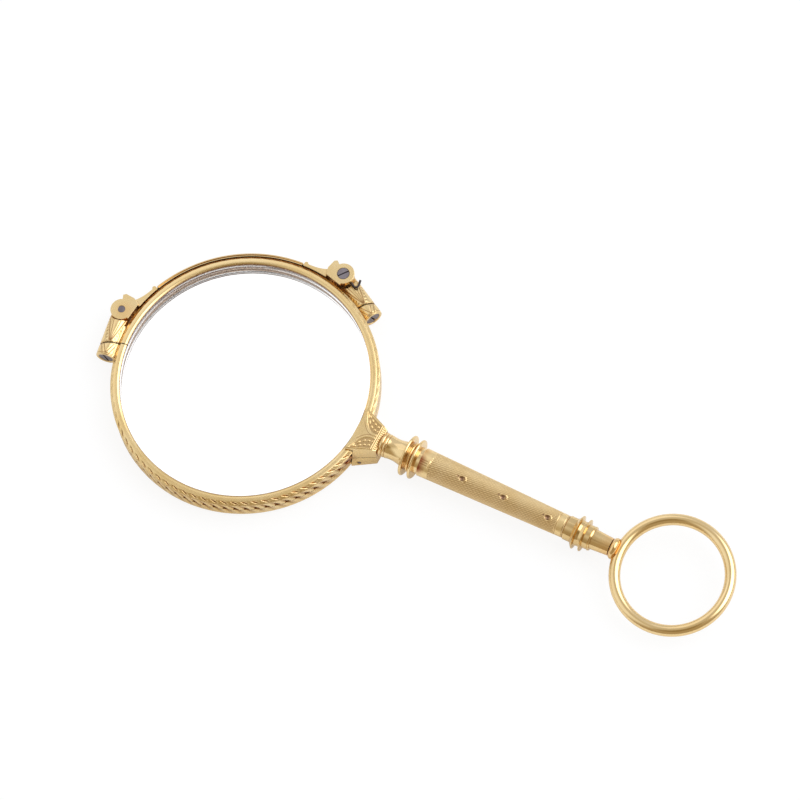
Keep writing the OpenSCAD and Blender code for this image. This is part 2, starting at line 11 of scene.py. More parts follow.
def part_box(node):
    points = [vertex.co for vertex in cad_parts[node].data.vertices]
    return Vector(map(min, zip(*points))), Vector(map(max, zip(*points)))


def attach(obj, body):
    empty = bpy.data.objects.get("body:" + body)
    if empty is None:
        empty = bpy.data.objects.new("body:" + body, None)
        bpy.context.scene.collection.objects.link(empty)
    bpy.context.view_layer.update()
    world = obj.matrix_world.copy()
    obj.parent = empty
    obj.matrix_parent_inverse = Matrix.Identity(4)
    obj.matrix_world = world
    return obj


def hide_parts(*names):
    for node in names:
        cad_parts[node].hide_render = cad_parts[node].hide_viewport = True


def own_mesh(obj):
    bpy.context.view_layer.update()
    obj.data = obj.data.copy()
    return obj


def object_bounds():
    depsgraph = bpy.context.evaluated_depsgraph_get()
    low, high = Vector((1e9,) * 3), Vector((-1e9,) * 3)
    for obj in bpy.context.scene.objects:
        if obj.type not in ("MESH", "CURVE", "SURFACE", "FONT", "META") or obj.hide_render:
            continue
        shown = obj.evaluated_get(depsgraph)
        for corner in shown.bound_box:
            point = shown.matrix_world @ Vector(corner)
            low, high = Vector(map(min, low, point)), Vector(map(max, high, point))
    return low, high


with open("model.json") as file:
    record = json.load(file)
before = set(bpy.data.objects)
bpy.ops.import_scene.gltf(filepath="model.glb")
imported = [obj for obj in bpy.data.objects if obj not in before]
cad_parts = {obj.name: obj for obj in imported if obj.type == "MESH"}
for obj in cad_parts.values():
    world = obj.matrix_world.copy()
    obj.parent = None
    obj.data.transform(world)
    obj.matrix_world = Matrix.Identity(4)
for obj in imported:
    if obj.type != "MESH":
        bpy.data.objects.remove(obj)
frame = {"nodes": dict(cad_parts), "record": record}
cad_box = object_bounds()
MM = 0.001


def middle(node):
    """The middle of a node's box, in millimetres."""
    low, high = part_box(node)
    return (Vector(low) + Vector(high)) / 2 / MM


# Places that everything is built from, in millimetres in the row frame
LENS = middle("front_lens")
SEAM_Z = (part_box("front_rim")[0][2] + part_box("back_rim")[1][2]) / 2 / MM
HANDLE = middle("handle_tube")
TUBE_START, TUBE_END = (corner[0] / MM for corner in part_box("handle_tube"))

# Sideways and upward in the picture, level with the table
RIGHTWARD = Vector((0.888, 0.460, 0))
UPWARD = Vector((-0.460, 0.888, 0))


# Shader nodes
BLACK = (0, 0, 0)
WHITE = (1, 1, 1)
MIX_SHARE, MIX_FIRST, MIX_SECOND, MIX_RESULT = 0, 6, 7, 2  # a Mix node's sockets for colours


def grey(level):
    return (level,) * 3


def feed(tree, socket, value):
    """Gives an input its value: another node's output, a number or a colour."""
    if isinstance(value, bpy.types.NodeSocket):
        tree.links.new(value, socket)
    elif socket.type == "RGBA":
        socket.default_value = (*value, 1)
    else:
        socket.default_value = value


def add_node(tree, kind, **inputs):
    node = tree.nodes.new(kind)
    for name, value in inputs.items():
        feed(tree, node.inputs[name], value)
    return node


def maths(tree, operation, *values, clamp=False):
    """The output of a sum over numbers and other nodes' outputs."""
    node = tree.nodes.new("ShaderNodeMath")
    node.operation = operation
    node.use_clamp = clamp
    for socket, value in zip(node.inputs, values):
        feed(tree, socket, value)
    return node.outputs["Value"]


def compared(tree, operation, coords, vector):
    """The number that a vector operation gives for coordinates and a fixed vector."""
    node = tree.nodes.new("ShaderNodeVectorMath")
    node.operation = operation
    feed(tree, node.inputs[0], coords)
    feed(tree, node.inputs[1], vector)
    return node.outputs["Value"]


def ramp(tree, source, stops):
    """A colour ramp over another node's output; stops are (place, colour)."""
    node = add_node(tree, "ShaderNodeValToRGB", Fac=source)
    for element, (place, colour) in zip(node.color_ramp.elements, stops):
        element.position = place
        element.color = (*colour, 1)
    return node.outputs["Color"]


def mix_colour(tree, share, first, second):
    """Mixes two colours, each a node's output or a plain colour."""
    node = tree.nodes.new("ShaderNodeMix")
    node.data_type = "RGBA"
    for index, value in ((MIX_SHARE, share), (MIX_FIRST, first), (MIX_SECOND, second)):
        feed(tree, node.inputs[index], value)
    return node.outputs[MIX_RESULT]


def new_material(name):
    material = bpy.data.materials.new(name)
    material.use_nodes = True
    tree = material.node_tree
    return material, tree, tree.nodes["Principled BSDF"]


# Metals. Two layers painted on a mesh are painted shade: one darkens engraved cuts, grooves and hollows, the
# other is a dull, less metallic brown on the rims' inner walls and in the tube's dimples
RED_BROWN = (0.36, 0.10, 0.04)
ORANGE = (0.80, 0.36, 0.08)
SHADED_GOLD = (0.62, 0.42, 0.17)
# Colour of the painted shade in engraved cuts, grooves and hollows
HOLLOW_SHADE = (0.30, 0.13, 0.04)
# The dull brown of painted shade on the rims' inner walls and in the tube's dimples, where the metal's share
# drops too
DULL_SHADE = (0.27, 0.17, 0.12)
SHADED_METALLIC = 0.8
CLOUD_SCALE = 160.0
SCRATCH_SCALE = 2600.0
SCRATCH_DEPTH = 0.02 * MM


def stains_and_shade(tree, coords, base, spots):
    """Adds soft spots to a colour, stains and painted shade; each is (place in mm, radius in mm, colour,
    strength).
    """
    for place, radius, colour, strength in spots:
        away = compared(tree, "DISTANCE", coords, Vector(place) * MM)
        share = ramp(tree, maths(tree, "DIVIDE", away, radius * MM), [(0.25, grey(strength)), (1.0, BLACK)])
        base = mix_colour(tree, share, base, colour)
    return base


def metal(name, light, dark, recess_shade, rough, scratch, reach=0.45, spots=()):
    """A metal whose colour and gloss vary a little, darkened with painted shade in recesses up to reach deep,
    finely scratched.
    """
    material, tree, shader = new_material(name)
    coords = tree.nodes.new("ShaderNodeTexCoord").outputs["Object"]
    cloud = add_node(tree, "ShaderNodeTexNoise", Vector=coords, Scale=CLOUD_SCALE, Detail=4.0, Roughness=0.6)
    fine = add_node(tree, "ShaderNodeTexNoise", Vector=coords, Scale=SCRATCH_SCALE, Detail=3.0, Roughness=0.7)
    # Painted shade: ambient occlusion mixes the recess colour in where the metal lies in a recess
    shade_in_recesses = add_node(tree, "ShaderNodeAmbientOcclusion", Distance=reach * MM)
    shade_in_recesses.samples = 6
    depth = ramp(tree, shade_in_recesses.outputs["AO"], [(0.25, grey(0.9)), (0.8, BLACK)])
    base = mix_colour(tree, depth, ramp(tree, cloud.outputs["Fac"], [(0.35, dark), (0.65, light)]), recess_shade)
    # The two painted layers mix in their colours of painted shade
    for layer, colour in (("hollow", HOLLOW_SHADE), ("tarnish", DULL_SHADE)):
        painted = tree.nodes.new("ShaderNodeAttribute")
        painted.attribute_name = layer
        base = mix_colour(tree, painted.outputs["Fac"], base, colour)
    # Less metal where the dull painted shade lies
    metallic_share = ramp(tree, painted.outputs["Fac"], [(0.0, WHITE), (1.0, grey(SHADED_METALLIC))])
    gloss = ramp(tree, fine.outputs["Fac"], [(0.3, grey(rough * 0.8)), (0.7, grey(rough * 1.25))])
    scratches = add_node(tree, "ShaderNodeBump", Strength=scratch, Distance=SCRATCH_DEPTH,
                         Height=fine.outputs["Fac"])
    for socket, value in (("Base Color", stains_and_shade(tree, coords, base, spots)), ("Metallic", metallic_share),
                          ("Roughness", gloss), ("Normal", scratches.outputs["Normal"])):
        feed(tree, shader.inputs[socket], value)
    return material


BLOCK_CORNER = LENS.x + 19.9, LENS.y - 4.4, SEAM_Z + 0.3
HEADS = [middle(name) for name in ("left_pivot_screw", "right_pivot_screw")]
HEAD_ROOTS = [LENS + (head - LENS) * 0.965 + Vector((0, 0, shift)) for head, shift in zip(HEADS, (0.3, -0.3))]
FERRULE_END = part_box("end_ferrule")[1][0] / MM, HANDLE.y, HANDLE.z
FLANGES = middle("lower_flanges").x, HANDLE.y, HANDLE.z
UNDER_FLANGE = Vector((TUBE_START - 0.1, HANDLE.y, HANDLE.z))

# Polished gold, with an orange spot at the ferrule's end and painted shade, a darker gold, over the lower
# flanges and the grooves between them
polished = metal("polished_gold", (0.93, 0.70, 0.37), (0.88, 0.64, 0.31), (0.50, 0.24, 0.07), 0.13, 0.03,
                 spots=[(FERRULE_END, 2.4, ORANGE, 0.45), (FLANGES, 4.2, SHADED_GOLD, 0.7)])
satin = metal("satin_gold", (0.92, 0.71, 0.38), (0.86, 0.62, 0.28), (0.52, 0.25, 0.07), 0.25, 0.06,
              spots=[(BLOCK_CORNER, 1.5, RED_BROWN, 0.7)] + [(root, 2.6, ORANGE, 0.6) for root in HEAD_ROOTS])
engraved = metal("engraved_gold", (0.95, 0.73, 0.39), (0.88, 0.64, 0.30), (0.46, 0.23, 0.07), 0.33, 0.08, 0.3,
                 spots=[(UNDER_FLANGE + Vector((0, -1.7, 1.5)), 1.3, RED_BROWN, 1.0),
                        (UNDER_FLANGE + Vector((0, -0.5, 2.2)), 1.2, RED_BROWN, 0.95),
                        (UNDER_FLANGE + Vector((0, 1.2, 1.9)), 1.2, ORANGE, 0.5)])
steel = metal("grey_steel", (0.30, 0.27, 0.29), (0.16, 0.13, 0.14), (0.02, 0.01, 0.01), 0.34, 0.06)
spring_steel = metal("spring_steel", (0.12, 0.10, 0.10), (0.06, 0.05, 0.05), (0.02, 0.01, 0.01), 0.36, 0.06)

glass, glass_tree, glass_shader = new_material("lens_glass")
for socket, value in (("Base Color", WHITE), ("Transmission Weight", 1.0), ("Roughness", 0.0), ("IOR", 1.5)):
    feed(glass_tree, glass_shader.inputs[socket], value)

FINISH = {
    "gold_rim": satin,
    "gold_satin": satin,
    "gold_polished": polished,
    "gold_engraved": engraved,
    "screw_steel": steel,
    "spring_steel": spring_steel,
    "lens_glass": glass,
}
for part in frame["record"]["subparts"]:
    mesh = frame["nodes"][part["node"]].data
    if not mesh.materials:
        mesh.materials.append(None)
    for index in range(len(mesh.materials)):
        mesh.materials[index] = FINISH[part["material_slot"]]


# Shapes
def smooth_step(x, low, high):
    share = np.clip((x - low) / (high - low), 0, 1)
    return share * share * (3 - 2 * share)


def ridge(away, width):
    return np.exp(-((away / width) ** 2))


def piece(name, points, faces, body, slot, material, replaced=(), sharp=38, **layers):
    """A mesh from points in millimetres, riding on a body; each layer, a share of painted shade, is a value
    from 0 to 1 per point.
    """
    mesh = bpy.data.meshes.new(name)
    mesh.from_pydata((points.reshape(-1, 3) * MM).tolist(), [], faces)
    work = bmesh.new()
    work.from_mesh(mesh)
    bmesh.ops.recalc_face_normals(work, faces=work.faces)
    work.to_mesh(mesh)
    work.free()
    for layer, values in layers.items():
        painted = mesh.attributes.new(layer, "FLOAT", "POINT")
        painted.data.foreach_set("value", np.clip(values, 0, 1).astype(np.float32).ravel())
    mesh.shade_smooth()
    mesh.set_sharp_from_angle(angle=math.radians(sharp))
    mesh.materials.append(material)
    made = bpy.data.objects.new(name, mesh)
    bpy.context.scene.collection.objects.link(made)
    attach(made, body)
    if replaced:
        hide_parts(*replaced)


def grid_faces(rows, columns, loop_rows=False, loop_columns=False):
    """Quads over a grid of points numbered row by row."""
    faces = []
    for i in range(rows if loop_rows else rows - 1):
        a, b = i * columns, (i + 1) % rows * columns
        for j in range(columns if loop_columns else columns - 1):
            k = (j + 1) % columns
            faces.append((a + j, b + j, b + k, a + k))
    return faces


# The rims: an outline swept round the lens, with a row of slanting gouges on the front rim's shoulder and
# one across the walls of both. Distances are from the middle of the lens and heights from the seam
RIM_LOW = 0.05
FACE_Z = 2.2
FACE_FROM, FACE_TO = 19.07, 19.96
SHADOW_LINE_TO, BEVEL_FROM, FALL_FROM = 19.2, 19.38, 19.5
SHOULDER_R, SHOULDER_Z = 19.99, 2.14
SHOULDER_WIDE, SHOULDER_HIGH = 0.39, 0.42
SHOULDER_CUT = 0.14
BEAD_R = 20.4
WALL_R, WALL_Z = 20.44, 1.48
WALL_CUT = 0.22
WALL_ROW_Z = 1.5
INNER_WALL = [  # distance, height and share of dull painted shade, from the seam past the groove that holds the lens
    (19.6, 0.05, 0.3), (19.06, 0.05, 0.9), (19.0, 0.11, 1), (19.0, 0.3, 0.75), (19.0, 0.5, 0.95),
    (19.0, 0.575, 1), (19.2, 0.8, 1), (19.45, 1.07, 1), (19.5, 1.125, 1), (19.45, 1.18, 1),
    (19.2, 1.45, 1), (19.0, 1.675, 1), (19.0, 1.78, 0.8), (19.0, 1.9, 1), (19.0, 2.07, 1),
]
GOUGE_COUNT = 81
STEPS_PER_GOUGE = 14
SHOULDER_GOUGES = 0.75, 0.1, 0.36  # slant across the row, then the steep and the sloping side, in gouges
WALL_GOUGES = 1.35, 0.12, 0.62
# Directions round a rim are in degrees, counterclockwise from the handle
BRIDGE_AXIS = 125.5
SPLIT_TURN = 62.92
SPLIT_HALF = math.degrees(0.08 / 20)  # from half its width and its distance
SLOT_HALF = math.degrees(math.asin(0.6 / 20.2))
FRONT_SLOT_FROM, FRONT_SLOT_Z = 19.5, 0.4
BACK_SLOT_R, BACK_SLOT_STEP, BACK_SLOT_FAR_R = 19.48, 0.96, 19.8


def wrapped(turn):
    """A direction as -180 to 180 degrees."""
    return (turn + 180) % 360 - 180


def gouges(turn, across, slant, steep, slope):
    """Depth from 0 to 1 of a row of slanting gouges, each steep on one side."""
    place = turn / 360 * GOUGE_COUNT - slant * (across - 0.5)
    side = place - np.round(place)
    ramped = np.where(side > 0, 1 - side / slope, 1 + side / steep)
    return np.clip(ramped, 0, 1) * np.sin(np.pi * np.clip(across, 0, 1)) ** 0.7


def crispness(turn):
    """How crisp the gouges still are: crisp below, worn on the left and at the block."""
    around = wrapped(turn)
    return 0.18 + 0.82 * smooth_step(around, -150, -122) * (1 - smooth_step(around, -14, 2))


def inner_shadow_line(turn):
    """Share of the painted shadow line along the inner edge of the face, on the upper side and the left."""
    return smooth_step(turn % 360, 40, 75) * (1 - smooth_step(turn % 360, 185, 192))


def rim_turns(split):
    """Directions round a rim, open at its split, with the edges of the catch's slot among them."""
    steps = np.linspace(0, 1, GOUGE_COUNT * STEPS_PER_GOUGE + 1)
    even = split + SPLIT_HALF + steps * (360 - 2 * SPLIT_HALF)
    edges = [360 + sign * SLOT_HALF + shift for sign in (-1, 1) for shift in (-0.01, 0.01)]
    return np.sort(np.concatenate([even, edges]))


def rim_rows(turns, front):
    """The rim's outline at each direction: distance, height, and the shares of painted shade in hollows and
    of dull painted shade.
    """
    strength, shadowed = crispness(turns), inner_shadow_line(turns)
    rows = []

    def add(r, z, hollow=0.0, tarnish=0.0):
        rows.append([np.broadcast_to(value, turns.shape) for value in (r, z, hollow, tarnish)])

    # The inner wall carries the dull painted shade, and near its top the painted shadow line
    for r, z, tarnish in INNER_WALL:
        add(r, z, 0.35 * shadowed if z > 1.8 else 0.0, tarnish)
    add(19.02, 2.09, 0.95 * shadowed, 0.5)
    for r in np.linspace(FACE_FROM, FACE_TO, 12):
        bevel = 0.15 * max(0.0, (BEVEL_FROM - r) / (BEVEL_FROM - FACE_FROM)) ** 1.3
        fall = 0.05 * max(0.0, (r - FALL_FROM) / (FACE_TO - FALL_FROM)) ** 2
        # On the front rim the painted shadow line also spreads over the face from its inner edge
        line = max(0.0, (SHADOW_LINE_TO - r) / (SHADOW_LINE_TO - FACE_FROM)) if front else 0.0
        add(r, FACE_Z - bevel - fall, 0.6 * line * shadowed)
    # Painted shade darkens the gouges, the edges of the bead and the rows along the seam between the rims
    for v in np.linspace(0, 1, 14):
        cut = strength * gouges(turns, v, *SHOULDER_GOUGES) if front else 0.0 * turns
        add(SHOULDER_R + SHOULDER_WIDE * v ** 1.2 - SHOULDER_CUT * cut,
            SHOULDER_Z - SHOULDER_HIGH * v - SHOULDER_CUT * cut, 0.95 * cut ** 0.8)
    bead = 0.05 if front else 0.0
    for out, z, hollow in [(-0.02, 1.69, 0.5), (bead, 1.66, 0.0), (bead * 1.4, 1.61, 0.0),
                           (bead, 1.56, 0.0), (-0.02, 1.52, 0.4)]:
        add(BEAD_R + out, z, hollow * strength)
    for v in np.linspace(0, 1, 20):
        z = WALL_Z - (WALL_Z - RIM_LOW) * v
        across = 0.5 + (-0.5 if front else 0.5) * z / WALL_ROW_Z
        cut = strength * gouges(turns, across, *WALL_GOUGES)
        add(WALL_R - WALL_CUT * cut, z, 0.85 * cut)
    for r, z in [(20.38, 0.09), (20.3, RIM_LOW), (20.0, RIM_LOW)]:
        add(r, z, 0.5)
    return rows


def make_rim(name, split, front):
    turns = rim_turns(split)
    rows = rim_rows(turns, front)
    sign, body = (1, "front_part") if front else (-1, "back_part")
    in_slot = np.abs(wrapped(turns)) < SLOT_HALF
    angle = np.radians(turns)
    points = np.empty((len(rows), len(turns), 3))
    for k, (r, z, _, _) in enumerate(rows):
        if front:
            z = np.where(in_slot & (r > FRONT_SLOT_FROM) & (z < FRONT_SLOT_Z), FRONT_SLOT_Z, z)
        else:
            slot_r = np.where(z > BACK_SLOT_STEP, BACK_SLOT_FAR_R, BACK_SLOT_R)
            r = np.where(in_slot, np.minimum(r, slot_r), r)
        points[k, :, 0] = LENS.x + r * np.cos(angle)
        points[k, :, 1] = LENS.y + r * np.sin(angle)
        points[k, :, 2] = SEAM_Z + sign * z
    count, columns = len(rows), len(turns)
    faces = grid_faces(count, columns, loop_rows=True)
    faces.append(tuple(k * columns for k in range(count)))
    faces.append(tuple(k * columns + columns - 1 for k in range(count - 1, -1, -1)))
    hollow, tarnish = (np.stack([row[k] for row in rows]) for k in (2, 3))
    piece(name + "_chased", points, faces, body, "gold_rim", satin, [name], 50,
          hollow=hollow, tarnish=tarnish)


make_rim("front_rim", BRIDGE_AXIS + SPLIT_TURN, True)
make_rim("back_rim", BRIDGE_AXIS - SPLIT_TURN, False)


# The tube: turned rows of barleycorns between plain bands, a small lined panel and three dimples.
# x runs from the end by the neck; angles are from the top, and widths are along the surface
TUBE_LEN = TUBE_END - TUBE_START
TUBE_R0, TUBE_R1 = 2.2, 1.75
TUBE_ROWS = 44
STEPS_PER_ROW = 8
TUBE_TWIST = 0.045  # radians in a millimetre
CORN_LONG = 0.64
PLAIN_TO = 1.66
BANDS = TUBE_LEN - 1.25, TUBE_LEN - 0.15
PANEL_TURN = math.radians(-19)
PANEL_HALF = 0.52
PANEL_LINE = 0.34
PANEL_END = 1.3
STOP_X = 1.5
DIMPLES = 7.0, 13.8, 21.15
DIMPLE_TURN = math.radians(-14)
DIMPLE_LONG, DIMPLE_WIDE = 0.5, 0.4


def turned_rows(x, row_turn, facing):
    """Depth of the barleycorn rows, and the painted shade in their grooves, which is fainter on the side away
    from the panel.
    """
    row = np.floor(row_turn / (2 * math.pi) * TUBE_ROWS)
    across = np.abs(np.sin(row_turn * TUBE_ROWS / 2))
    corn = np.abs(np.sin(math.pi * (x / CORN_LONG + 0.5 * (row % 2))))
    turned = smooth_step(x, PLAIN_TO, PLAIN_TO + 0.12) * (1 - smooth_step(x, BANDS[0] - 0.2, BANDS[0] - 0.1))
    low = (1 - across ** 0.8 * (0.6 + 0.4 * corn)) * turned
    return 0.05 * low, 0.75 * low * (0.4 + 0.6 * smooth_step(-facing, -0.45, 0.6))


def lined_panel(x, side):
    """Depth and painted shade of the lined panel's lines, and depth of the raised stroke that ends it."""
    lines = np.clip(1 - np.abs((side / PANEL_LINE + 0.5) % 1 - 0.5) * 3.0, 0, 1)
    inside = smooth_step(PANEL_HALF - np.abs(side), 0, 0.03)
    panel = inside * smooth_step(x, 0.1, 0.2) * (1 - smooth_step(x, PANEL_END, PANEL_END + 0.06))
    stop = ridge(x - STOP_X, 0.09) * smooth_step(PANEL_HALF + 0.1 - np.abs(side), 0, 0.05)
    return 0.05 * lines * panel - 0.08 * stop, 0.8 * lines * panel


def make_tube():
    count = TUBE_ROWS * STEPS_PER_ROW
    close = [1.6 + np.linspace(-0.2, 0.1, 9)] + [b + np.linspace(-0.12, 0.12, 7) for b in BANDS]
    places = np.unique(np.concatenate([np.linspace(0, TUBE_LEN, 330)] + close))
    x, row_turn = np.meshgrid(places, np.arange(count) * 2 * math.pi / count, indexing="ij")
    turn = row_turn + TUBE_TWIST * x
    facing = (turn + math.pi) % (2 * math.pi) - math.pi
    base = TUBE_R0 + (TUBE_R1 - TUBE_R0) * x / TUBE_LEN
    row_depth, row_hollow = turned_rows(x, row_turn, facing)
    panel_depth, panel_hollow = lined_panel(x, (facing - PANEL_TURN) * base)
    depth, hollow, tarnish = row_depth + panel_depth, row_hollow + panel_hollow, np.zeros_like(x)
    for b in BANDS:
        # The band lines are grooves, darkened with painted shade
        line = ridge(x - b, 0.06)
        depth, hollow = depth + 0.06 * line, hollow + 0.6 * line
    # Painted shade and the dull painted shade lie on each dimple's half towards the neck end and on the small
    # tick before it
    for d in DIMPLES:
        along, wide = x - d, (facing - DIMPLE_TURN) * base
        away = np.sqrt((along / DIMPLE_LONG) ** 2 + (wide / DIMPLE_WIDE) ** 2)
        dip = np.clip(1 - away ** 2, 0, 1) ** 0.7
        lip = ridge(away - 1.15, 0.22) * smooth_step(along, 0.0, 0.3)
        tick = ridge(along + 0.75, 0.14) * ridge(wide - 0.12, 0.12)
        clear = smooth_step(away, 1.0, 1.25)
        depth = depth * clear + 0.28 * dip - 0.09 * lip + 0.06 * tick
        hollow = hollow * clear + dip ** 0.4 * (1 - smooth_step(along, 0.05, 0.45)) + tick
        tarnish += 0.7 * dip ** 0.5 * (1 - smooth_step(along, 0.05, 0.4)) + 0.6 * tick
    rows, columns = x.shape
    radius = base - depth
    points = np.stack([TUBE_START + x, HANDLE.y + radius * np.sin(turn), HANDLE.z + radius * np.cos(turn)],
                      axis=-1)
    faces = grid_faces(rows, columns, loop_columns=True)
    faces.append(tuple(range(columns)))
    faces.append(tuple((rows - 1) * columns + j for j in range(columns - 1, -1, -1)))
    piece("handle_tube_turned", points, faces, "front_part", "gold_engraved", engraved, ["handle_tube"], 60,
          hollow=hollow, tarnish=tarnish)


make_tube()


# Nodes whose sharp edges are rounded
EDGE_ANGLE = math.radians(30)
SHARP_ANGLE = math.radians(32)
FINE_BEVEL = 0.1


def softened(node, width, body, material):
    """Stands for a node with the same shape, its sharp edges rounded."""
    mesh = frame["nodes"][node].data.copy()
    mesh.name = node + "_rounded"
    work = bmesh.new()
    work.from_mesh(mesh)
    bmesh.ops.remove_doubles(work, verts=work.verts, dist=2e-7)
    bmesh.ops.dissolve_limit(work, angle_limit=math.radians(0.6), verts=work.verts, edges=work.edges)
    edges = [e for e in work.edges if len(e.link_faces) == 2 and e.calc_face_angle(0) > EDGE_ANGLE]
    segments = 2 if width < FINE_BEVEL else 4
    bmesh.ops.bevel(work, geom=edges, offset=width * MM, segments=segments, affect="EDGES",
                    clamp_overlap=True)
    work.to_mesh(mesh)
    work.free()
    mesh.shade_smooth()
    mesh.set_sharp_from_angle(angle=SHARP_ANGLE)
    mesh.materials.clear()
    mesh.materials.append(material)
    made = bpy.data.objects.new(mesh.name, mesh)
    bpy.context.scene.collection.objects.link(made)
    weighted = made.modifiers.new("flat_faces", "WEIGHTED_NORMAL")
    weighted.weight = 80
    weighted.keep_sharp = True
    flat = made.modifiers.new("triangles", "TRIANGULATE")
    flat.min_vertices = 5
    flat.keep_custom_normals = True
    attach(made, body)
    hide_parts(node)
    return made


softened("left_head", 0.07, "bridge", satin)
softened("right_head", 0.07, "bridge", satin)
softened("bridge_bar", 0.2, "bridge", polished)
softened("handle_block", 0.06, "front_part", satin)
softened("catch_lug", 0.06, "back_part", satin)
for side in ("front", "back"):
    for part in ("barrel", "knuckle"):
        softened(f"{side}_lock_{part}", 0.05, f"{side}_part", satin)

# The catch's leaf spring gets a mesh of its own; on the object it flattens against the roof of its slot, its
# anchor, when the lever is pressed
leaf_spring = softened("catch_spring", 0.02, "back_part", spring_steel)
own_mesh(leaf_spring)


# Leaf panels on the face of the block: raised borders, beads and a ribbed end band.
# x runs along the handle from the middle of the lens, and y across it
BLOCK_X0, BLOCK_X1 = 19.1, 23.35
BLOCK_HALF0, BLOCK_HALF1 = 3.65, 1.9
BLOCK_BEVEL = 22.85
BLOCK_TOP = 2.55
LEAF_END = 22.35
LEAF_LONG = LEAF_END - BLOCK_X0
LEAF_HALF = 3.4
LEAF_BEND = 2.8
BEAD_PITCH = 0.62
RIB_PITCH = 0.34
RIBS_FROM = 22.9
SKIN_LIFT = 0.03
SKIN_DROP = 0.1


def block_half(x):
    """Half the width of the block's face at x."""
    return BLOCK_HALF0 + (BLOCK_HALF1 - BLOCK_HALF0) * (x - BLOCK_X0) / (BLOCK_X1 - BLOCK_X0)


def block_relief(x, y):
    """Height and painted shade of the block's face: a plain field between two beaded leaves, and an end band.
    """
    share = np.clip((LEAF_END - x) / LEAF_LONG, 0, 1)
    inner = LEAF_HALF * share ** LEAF_BEND + 0.1
    lean = np.sqrt(1 + (LEAF_HALF * LEAF_BEND * share ** (LEAF_BEND - 1) / LEAF_LONG) ** 2)
    away = (np.abs(y) - inner) / lean
    edge = block_half(x) - 0.22 - np.abs(y)
    band = smooth_step(0.2 - np.abs(away - 0.12), 0.0, 0.08)
    border = smooth_step(0.12 - np.abs(edge), 0.0, 0.06)
    ground = smooth_step(away, 0.3, 0.36) * smooth_step(edge, 0.1, 0.16)
    beads = np.zeros_like(x)
    for lane, shift in ((0.27, 0.0), (0.72, 0.5)):
        step = x / BEAD_PITCH + shift
        along = (step - np.round(step)) * BEAD_PITCH
        across = away - 0.34 - lane * np.maximum(edge + away - 0.5, 0.2)
        beads = np.maximum(beads, np.clip(1 - (along / 0.21) ** 2 - (across / 0.18) ** 2, 0, 1) ** 0.5)
    vein = ridge(away + 0.14, 0.05) * smooth_step(x, 19.4, 20.2)
    height = 0.08 * np.maximum(band, border) + 0.12 * ground * beads
    # Painted shade in the ground between the beads and along the vein
    hollow = np.maximum(0.45 * ground * (1 - beads ** 0.5), 0.75 * vein)

    strips = smooth_step(0.1 - np.abs(x - 22.52), 0, 0.05) + smooth_step(0.09 - np.abs(x - 22.8), 0, 0.05)
    ribs = 0.5 + 0.5 * np.cos(y * 2 * math.pi / RIB_PITCH)
    beyond = smooth_step(x, LEAF_END + 0.01, LEAF_END + 0.05)
    band_height = np.maximum(0.08 * strips, 0.05 * ribs * (x > RIBS_FROM))
    # Painted shade between the ribs, and on the band's ground between the raised strips
    band_hollow = np.where(x > RIBS_FROM, 0.6 * (1 - ribs), 0.7 * (1 - np.minimum(strips, 1)))
    return height * (1 - beyond) + beyond * band_height, hollow * (1 - beyond) + beyond * band_hollow


def make_block_leaves():
    """A chased skin just above the block's face, its border tucked into the block."""
    straight_x, across = np.meshgrid(np.linspace(BLOCK_X0 + 0.02, BLOCK_X1 - 0.06, 110),
                                     np.linspace(-1, 1, 150), indexing="ij")
    y = across * (block_half(straight_x) - 0.1)
    rim = np.sqrt(np.maximum((BLOCK_X0 + 0.08) ** 2 - y ** 2, 0))
    x = rim + (straight_x - BLOCK_X0) / (BLOCK_X1 - BLOCK_X0) * (BLOCK_X1 - rim)
    fall = np.clip(x - BLOCK_BEVEL, 0, 1) * math.tan(math.radians(35))
    height, hollow = block_relief(x, y)
    points = np.stack([LENS.x + x, LENS.y + y, SEAM_Z + BLOCK_TOP - fall + SKIN_LIFT + height], axis=-1)
    edge = np.ones(x.shape, bool)
    edge[1:-1, 1:-1] = False
    points[edge, 2] -= SKIN_DROP
    piece("handle_block_leaves", points, grid_faces(*x.shape), "front_part", "gold_polished", satin, sharp=80,
          hollow=hollow)


make_block_leaves()


# Chased leaves on the lock barrels, raised a little from the plain barrels.
# t runs along a barrel from its pivot, and w round it
PIVOT_D = 22.55
HEAD_ANGLE = 49.3
LUG_R = 1.86
BARREL_R = 1.55
BARREL_SPLIT = 5.7
BARREL_GAP = 0.14
BARREL_END = 7.8
BARREL_Z = 0.65
BARREL_SKEW = math.tan(math.radians(15))
LEAF_LIFT, LEAF_CUT, LEAF_TUCK = 0.05, 0.045, 0.07
LEAF_SPREAD = 72
LEAF_LOW, LEAF_TOP = -2.2, 2.26


def barrel_lines(t, w, knuckle):
    """Share of engraved line at a place on a barrel: leaves that open away from the split."""
    side = np.abs(w)
    if knuckle:
        open_v = 0.5 * (BARREL_END - 0.35 - t)
        rim = ridge(t - BARREL_END + 0.3, 0.05)
        return np.clip(ridge(side - open_v, 0.08) + ridge(side - open_v - 0.55, 0.07) + rim, 0, 1)
    open_v = 0.1 + 0.32 * (5.45 - t)
    lines = ridge(side - open_v, 0.09) + 0.9 * ridge(side - 0.45 * open_v, 0.06) + 0.7 * ridge(side, 0.05)
    ticks = ridge(np.mod(t / 0.62 - side * 0.8, 1.0) - 0.5, 0.2) * ridge(side - open_v - 0.42, 0.2)
    return np.clip(lines * smooth_step(5.5 - t, 0, 0.15) + 0.9 * ticks, 0, 1)


